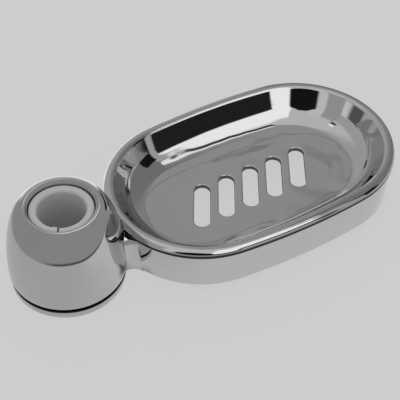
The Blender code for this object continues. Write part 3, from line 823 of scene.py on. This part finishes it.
def tray_section(dish):
    """Section of the tray from the flat floor's edge up over the rim and back under the floor."""
    lean = (math.cos(dish.draft), math.sin(dish.draft))
    tilt = (math.sin(dish.fall), math.cos(dish.fall))
    crest = dish.rim_outer_round
    inner = (crest, dish.rim_top - dish.rim_inner_round)
    outer = (crest, dish.rim_top - dish.rim_outer_round)
    wall = lean[0] * inner[0] + lean[1] * inner[1] + dish.rim_inner_round
    floor = tilt[0] * dish.flat_inset + tilt[1] * dish.floor
    cross = lean[0] * tilt[1] - lean[1] * tilt[0]
    wall_reach = wall + dish.foot_round
    floor_reach = floor + dish.foot_round
    foot = (
        (wall_reach * tilt[1] - floor_reach * lean[1]) / cross,
        (floor_reach * lean[0] - wall_reach * tilt[0]) / cross,
    )
    draft = math.degrees(dish.draft)
    wall_end, floor_end = 180 + draft, 270 - math.degrees(dish.fall)
    under = dish.skirt_top + dish.clearance
    heel = math.degrees(math.asin((outer[1] - under - dish.heel_round) / dish.rim_outer_round))
    spigot = dish.skirt_inset + dish.skirt_wall + dish.clearance
    spigot_foot = under - dish.spigot
    step_down = spigot_foot - dish.wall / 2
    step_inset = (wall - dish.wall - lean[1] * step_down) / lean[0]
    profile = arc(foot, dish.foot_round, floor_end, wall_end, steps=24)
    profile += arc(inner, dish.rim_inner_round, draft, 90, steps=24)
    profile += arc(outer, dish.rim_outer_round, 90, 180 + heel, steps=32)[1:]
    profile += [(profile[-1][0] + dish.heel_round, under), (spigot, under), (spigot, spigot_foot)]
    profile.append((step_inset, step_down))
    return profile + arc(foot, dish.foot_round + dish.wall, wall_end, floor_end, steps=24)


def floor_run(dish, level, steps=12):
    """The slope's soft run-out to the flat floor or underside, from its inner end outwards."""
    half = dish.flat_blend
    points = []
    for step in range(steps + 1):
        along = step / steps
        inset = dish.flat_inset + half * (1 - 2 * along)
        points.append((inset, level + math.tan(dish.fall) * half * along**2))
    return points


def slot_outline(dish, number, grow):
    """A drain slot's outline in plan, grown all round."""
    radius = dish.slot_width / 2
    straight = dish.slot_length / 2 - radius
    shift = dish.arm + dish.slot_shift + (number - (dish.slots - 1) / 2) * dish.slot_pitch
    slant = math.pi / 2 - dish.slot_slant
    points = arc((straight, 0), radius + grow, -90, 90, steps=24)
    points += arc((-straight, 0), radius + grow, 90, 270, steps=24)
    return [
        (shift + along * math.cos(slant) - across * math.sin(slant),
         along * math.sin(slant) + across * math.cos(slant))
        for along, across in points
    ]


def tray_solid(dish):
    """The tray, with its floor filled in round the drain slots."""
    shape = bmesh.new()
    flat = dish.flat_inset + dish.flat_blend + dish.support
    top = dish.floor
    under = dish.floor - dish.wall
    profile = [(flat, top)] + floor_run(dish, top) + tray_section(dish)
    profile += floor_run(dish, under)[::-1] + [(flat, under)]
    sweep_oval(shape, dish, profile)
    rims = {top: open_loop(shape, top), under: open_loop(shape, under)}
    rings = [(dish.slot_round + dish.support, top)]
    rings += arc((dish.slot_round, top - dish.slot_round), dish.slot_round, 90, 180, steps=6)
    rings.append((0.0, under))
    for number in range(dish.slots):
        loops = []
        for grow, height in rings:
            points = [(x, y, height) for x, y in slot_outline(dish, number, grow)]
            made = chain(shape, points, closed=True)
            loops.append([item for item in made if isinstance(item, bmesh.types.BMEdge)])
        for first, second in zip(loops, loops[1:]):
            bmesh.ops.bridge_loops(shape, edges=first + second)
        rims[top] += loops[0]
        rims[under] += loops[-1]
    for edges in rims.values():
        bmesh.ops.triangle_fill(
            shape, use_beauty=True, use_dissolve=False, edges=edges, normal=(0, 0, 1)
        )
    return solid_object("soap_tray_chrome", shape)


def tray_relief(collar, bush, dish, steps=12):
    """Room round the collar, which the tray's end clears."""
    low = dish.floor - dish.wall - OVERRUN
    high = dish.rim_top + OVERRUN
    profile = [(0, high)]
    for step in range(steps + 1):
        height = high - (high - collar.widest) * step / steps
        profile.append((collar_radius(collar, bush, height) + dish.relief, height))
    profile += [(collar.radius + dish.relief, low), (0, low)]
    return turned("relief", profile, closed=False)


def finished(obj, material):
    """Smooth the piece's shading after its cuts and give it its one material."""
    smoothed(obj.data)
    obj.data.materials.clear()
    obj.data.materials.append(material)


class HOLDER_OT_body(bpy.types.Operator):
    """Build the chromed collar, neck and oval frame as one moulding"""

    bl_idname = "soap_holder.body"
    bl_label = "Holder Body"

    def execute(self, context):
        scene = context.scene
        collar, ring, bush = scene.holder_collar, scene.holder_ring, scene.holder_bush
        dish, neck = scene.holder_dish, scene.holder_neck
        dome = [(0, collar.height)] + dome_section(collar, bush)
        dome += [(collar.radius - collar.tuck, collar.foot - OVERRUN), (0, collar.foot - OVERRUN)]
        body = turned("holder_body_chrome", dome, closed=False)
        oval = frame_solid(dish)
        cut(oval, neck_solid(neck, dish, collar, bush), "UNION")
        cut(oval, frame_well(dish))
        cut(body, oval, "UNION")
        cut(body, collar_hollow(collar, ring, bush))
        cut(body, seat_cutter(collar, bush))
        finish = scene.holder_finish
        finished(body, chrome_material(
            "holder_chrome", finish, offset=(0, 0, 0), wave=finish.body_waves,
        ))
        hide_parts("holder_body")
        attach(body, "holder")
        return {"FINISHED"}


class HOLDER_OT_tray(bpy.types.Operator):
    """Build the chromed soap tray with its drain slots"""

    bl_idname = "soap_holder.tray"
    bl_label = "Soap Tray"

    def execute(self, context):
        scene = context.scene
        collar, bush, dish = scene.holder_collar, scene.holder_bush, scene.holder_dish
        tray = tray_solid(dish)
        cut(tray, tray_relief(collar, bush, dish))
        finish = scene.holder_finish
        finished(tray, chrome_material(
            "tray_chrome", finish, offset=(0.3, 0.1, 0), wave=finish.tray_waves,
            # Painted shade along the gap under the rim.
            recess_shade=lambda own: rim_underside_shade(own, dish), floor=dish.floor,
        ))
        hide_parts("soap_tray")
        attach(tray, "tray")
        return {"FINISHED"}


class HOLDER_OT_ring(bpy.types.Operator):
    """Build the chromed lock ring under the collar"""

    bl_idname = "soap_holder.ring"
    bl_label = "Lock Ring"

    def execute(self, context):
        scene = context.scene
        ring, collar, bush = scene.holder_ring, scene.holder_collar, scene.holder_bush
        bore = taper_radius(bush, bush.shoulder) - bush.step + ring.thread_clearance
        hub = bore + ring.hub_wall
        groove = ring.radius - ring.groove_depth
        rim_top = collar.foot - ring.groove_width
        face = collar.foot - ring.seam
        spigot = collar.radius - collar.tuck - collar.wall - ring.seam
        spigot_top = collar.foot + ring.spigot_reach
        inner = spigot - ring.spigot_wall
        profile = [(bore, ring.hub_top), (hub, ring.hub_top), (hub, ring.floor), (inner, ring.floor)]
        profile += [(inner, spigot_top), (spigot, spigot_top), (spigot, face), (groove, face)]
        profile.append((groove, rim_top))
        top = (ring.radius - ring.top_round, rim_top - ring.top_round)
        profile += arc(top, ring.top_round, 90, 0, steps=8)
        foot = (ring.radius - ring.foot_round, ring.foot_round)
        profile += arc(foot, ring.foot_round, 0, -90, steps=10)
        profile.append((bore, 0))
        obj = turned("lock_ring_chrome", profile)
        finished(obj, chrome_material(
            "ring_chrome", scene.holder_finish, offset=(0, 0.2, 0.4), wave=0,
            # Painted shade in the groove under the collar.
            recess_shade=lambda own: ring_groove_shade(own, rim_top - ring.top_round / 2),
        ))
        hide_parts("lock_ring")
        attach(obj, "ring")
        return {"FINISHED"}


class HOLDER_OT_bush(bpy.types.Operator):
    """Build the grey split bush that grips the rail"""

    bl_idname = "soap_holder.bush"
    bl_label = "Rail Bush"

    def execute(self, context):
        scene = context.scene
        collar, bush = scene.holder_collar, scene.holder_bush
        tail = taper_radius(bush, bush.shoulder) - bush.step
        mouth = bush.mouth_round
        profile = arc((bush.bore + mouth, bush.top - mouth), mouth, 180, 90, steps=16)
        rim = (taper_radius(bush, bush.top) - bush.rim_round, bush.top - bush.rim_round)
        profile += arc(rim, bush.rim_round, 90, 0, steps=10)
        profile += [(taper_radius(bush, bush.shoulder), bush.shoulder), (tail, bush.shoulder)]
        profile += [(tail, bush.foot + bush.lead_in), (tail - bush.lead_in, bush.foot)]
        profile += [(bush.bore + bush.lead_in, bush.foot), (bush.bore, bush.foot + bush.lead_in)]
        obj = turned("rail_bush_plastic", profile, steps=160)
        turn = (bush.nib_width + bush.split_width) / 2 / (bush.bore + mouth / 2)
        nib_inner = bush.bore + bush.nib_reach
        nib_top = bush.top - bush.nib_reach / 4
        cut(obj, block(
            "nib", bush.split_bearing - turn, nib_inner, nib_inner + mouth,
            bush.nib_width, bush.top - bush.nib_depth, nib_top,
        ), "UNION")
        cut(obj, block(
            "keyway", 0, bush.bore + bush.keyway_wall, collar.radius,
            collar.key_width + 2 * bush.keyway_clearance, 0, collar.key_height + bush.keyway_run_out,
        ))
        cut(obj, block(
            "split", bush.split_bearing, bush.bore - OVERRUN, collar.radius, bush.split_width,
            bush.foot - OVERRUN, bush.top + OVERRUN,
        ))
        finished(obj, bush_material("bush_plastic", scene.holder_finish))
        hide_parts("rail_bush")
        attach(obj, "bush")
        return {"FINISHED"}


class HOLDER_OT_washer(bpy.types.Operator):
    """Give the slip washer its plastic"""

    bl_idname = "soap_holder.washer"
    bl_label = "Slip Washer"

    def execute(self, context):
        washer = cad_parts["slip_washer"]
        material = washer_material("washer_plastic", context.scene.holder_finish)
        for slot in washer.material_slots:
            slot.material = material
        return {"FINISHED"}


class HOLDER_OT_stage(bpy.types.Operator):
    """Set the floor, the studio light and the camera"""

    bl_idname = "soap_holder.stage"
    bl_label = "Stage"

    def execute(self, context):
        scene = context.scene
        stage = scene.holder_stage
        self.floor(scene, stage)
        self.world(scene, stage)
        tray = bpy.data.objects["soap_tray_chrome"]
        others = [obj for obj in scene.objects if obj.type == "MESH" and obj != tray]
        self.lamp(scene, "tent", others, tent_tone)
        self.lamp(scene, "window", [tray], window_tone)
        self.camera(scene)
        scene.view_settings.view_transform = "Standard"
        return {"FINISHED"}

    def floor(self, scene, stage):
        """The plain floor that the camera sees, and the mat, card and painted shadows that the chrome
        shows.
        """
        shape = bmesh.new()
        bmesh.ops.create_circle(shape, cap_ends=True, radius=stage.floor_radius, segments=96)
        mesh = bpy.data.meshes.new("floor")
        shape.to_mesh(mesh)
        shape.free()
        floor = bpy.data.objects.new("floor", mesh)
        floor.location.z = -stage.floor_drop
        scene.collection.objects.link(floor)
        material, tree, shader, own = new_material("floor")
        grey = toned((1, 1, 1), stage.floor)
        feed(shader, {"Base Color": grey, "Roughness": 0.9, "Specular IOR Level": 0.0})
        lit = Wire(tree, shader.outputs["BSDF"])
        plain = node(tree, "ShaderNodeEmission", {}, {"Strength": stage.floor})
        shown = node(tree, "ShaderNodeEmission", {}, {"Strength": mat_tone(own, stage)})
        seen = node(tree, "ShaderNodeMixShader", {}, {"Fac": stage.shadow, 1: plain, 2: lit})
        glossy = node(tree, "ShaderNodeLightPath", {}, {}, "Is Glossy Ray")
        both = node(tree, "ShaderNodeMixShader", {}, {"Fac": glossy, 1: seen, 2: shown})
        feed(tree.nodes["Material Output"], {"Surface": both})
        mesh.materials.append(material)

    def world(self, scene, stage):
        """Plain light from all round. The chrome shows only the tent's tone below the horizon."""
        horizon_blur = 0.001
        world = bpy.data.worlds.new("studio")
        scene.world = world
        world.use_nodes = True
        tree = world.node_tree
        camera = node(tree, "ShaderNodeLightPath", {}, {}, "Is Camera Ray")
        glossy = node(tree, "ShaderNodeLightPath", {}, {}, "Is Glossy Ray")
        away = node(tree, "ShaderNodeTexCoord", {}, {}, "Generated")
        below = 1 - smooth_step(away.axis("Z"), -horizon_blur, 0)
        tone = blended(stage.level, camera, stage.floor)
        tone = blended(tone, glossy, below * stage.tent)
        feed(tree.nodes["Background"], {"Color": (1, 1, 1, 1), "Strength": tone})

    def lamp(self, scene, name, pieces, tone):
        """A half dome of soft light that only some pieces receive, at the level of a plain white sky."""
        data = bpy.data.lights.new(name, "SUN")
        data.angle = math.pi
        data.energy = math.pi
        data.use_nodes = True
        strength = tone(data.node_tree, scene.holder_stage)
        feed(data.node_tree.nodes["Emission"], {"Strength": strength})
        lamp = bpy.data.objects.new(name, data)
        scene.collection.objects.link(lamp)
        group = bpy.data.collections.new(name)
        for piece in pieces:
            group.objects.link(piece)
        lamp.light_linking.receiver_collection = group

    def camera(self, scene):
        """The camera that was fitted to the tray's rim, the drain slots and the collar's circles."""
        turn, height, roll = -0.53195, 0.79510, 0.013453
        target = Vector((0.06421, -0.00253, 0.01615))
        distance = 0.45576
        focal_pixels, picture_pixels = 1019.756, 400
        sensor = 36.0
        ahead = Vector((
            -math.sin(turn) * math.cos(height), math.cos(turn) * math.cos(height), -math.sin(height)
        ))
        right = Vector((math.cos(turn), math.sin(turn), 0))
        up = right.cross(ahead)
        across = right * math.cos(roll) + up * math.sin(roll)
        upright = up * math.cos(roll) - right * math.sin(roll)
        data = bpy.data.cameras.new("camera")
        data.sensor_width = sensor
        data.lens = focal_pixels / picture_pixels * sensor
        data.clip_start = 0.01
        camera = bpy.data.objects.new("camera", data)
        place = Matrix((across, upright, -ahead)).transposed().to_4x4()
        place.translation = target - ahead * distance
        camera.matrix_world = place
        scene.collection.objects.link(camera)
        scene.camera = camera


class HOLDER_PT_panel(bpy.types.Panel):
    """Lists the pieces of the soap holder"""

    bl_idname = "HOLDER_PT_panel"
    bl_label = "Soap Holder"
    bl_space_type = "VIEW_3D"
    bl_region_type = "UI"
    bl_category = "Soap Holder"

    def draw(self, context):
        for operator in OPERATORS:
            self.layout.operator(operator.bl_idname)


GROUPS = {
    "holder_collar": CollarSizes,
    "holder_ring": RingSizes,
    "holder_bush": BushSizes,
    "holder_dish": DishSizes,
    "holder_neck": NeckSizes,
    "holder_finish": FinishColours,
    "holder_stage": StageSizes,
}
OPERATORS = (
    HOLDER_OT_body, HOLDER_OT_tray, HOLDER_OT_ring, HOLDER_OT_bush, HOLDER_OT_washer, HOLDER_OT_stage,
)


def register():
    for group in GROUPS.values():
        bpy.utils.register_class(group)
    for operator in OPERATORS:
        bpy.utils.register_class(operator)
    bpy.utils.register_class(HOLDER_PT_panel)
    for name, group in GROUPS.items():
        setattr(bpy.types.Scene, name, bpy.props.PointerProperty(type=group))


def unregister():
    for name in GROUPS:
        delattr(bpy.types.Scene, name)
    bpy.utils.unregister_class(HOLDER_PT_panel)
    for operator in reversed(OPERATORS):
        bpy.utils.unregister_class(operator)
    for group in reversed(list(GROUPS.values())):
        bpy.utils.unregister_class(group)


def main():
    register()
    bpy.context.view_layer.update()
    bpy.ops.soap_holder.body()
    bpy.ops.soap_holder.tray()
    bpy.ops.soap_holder.ring()
    bpy.ops.soap_holder.bush()
    bpy.ops.soap_holder.washer()
    bpy.ops.soap_holder.stage()


if __name__ == "__main__":
    main()
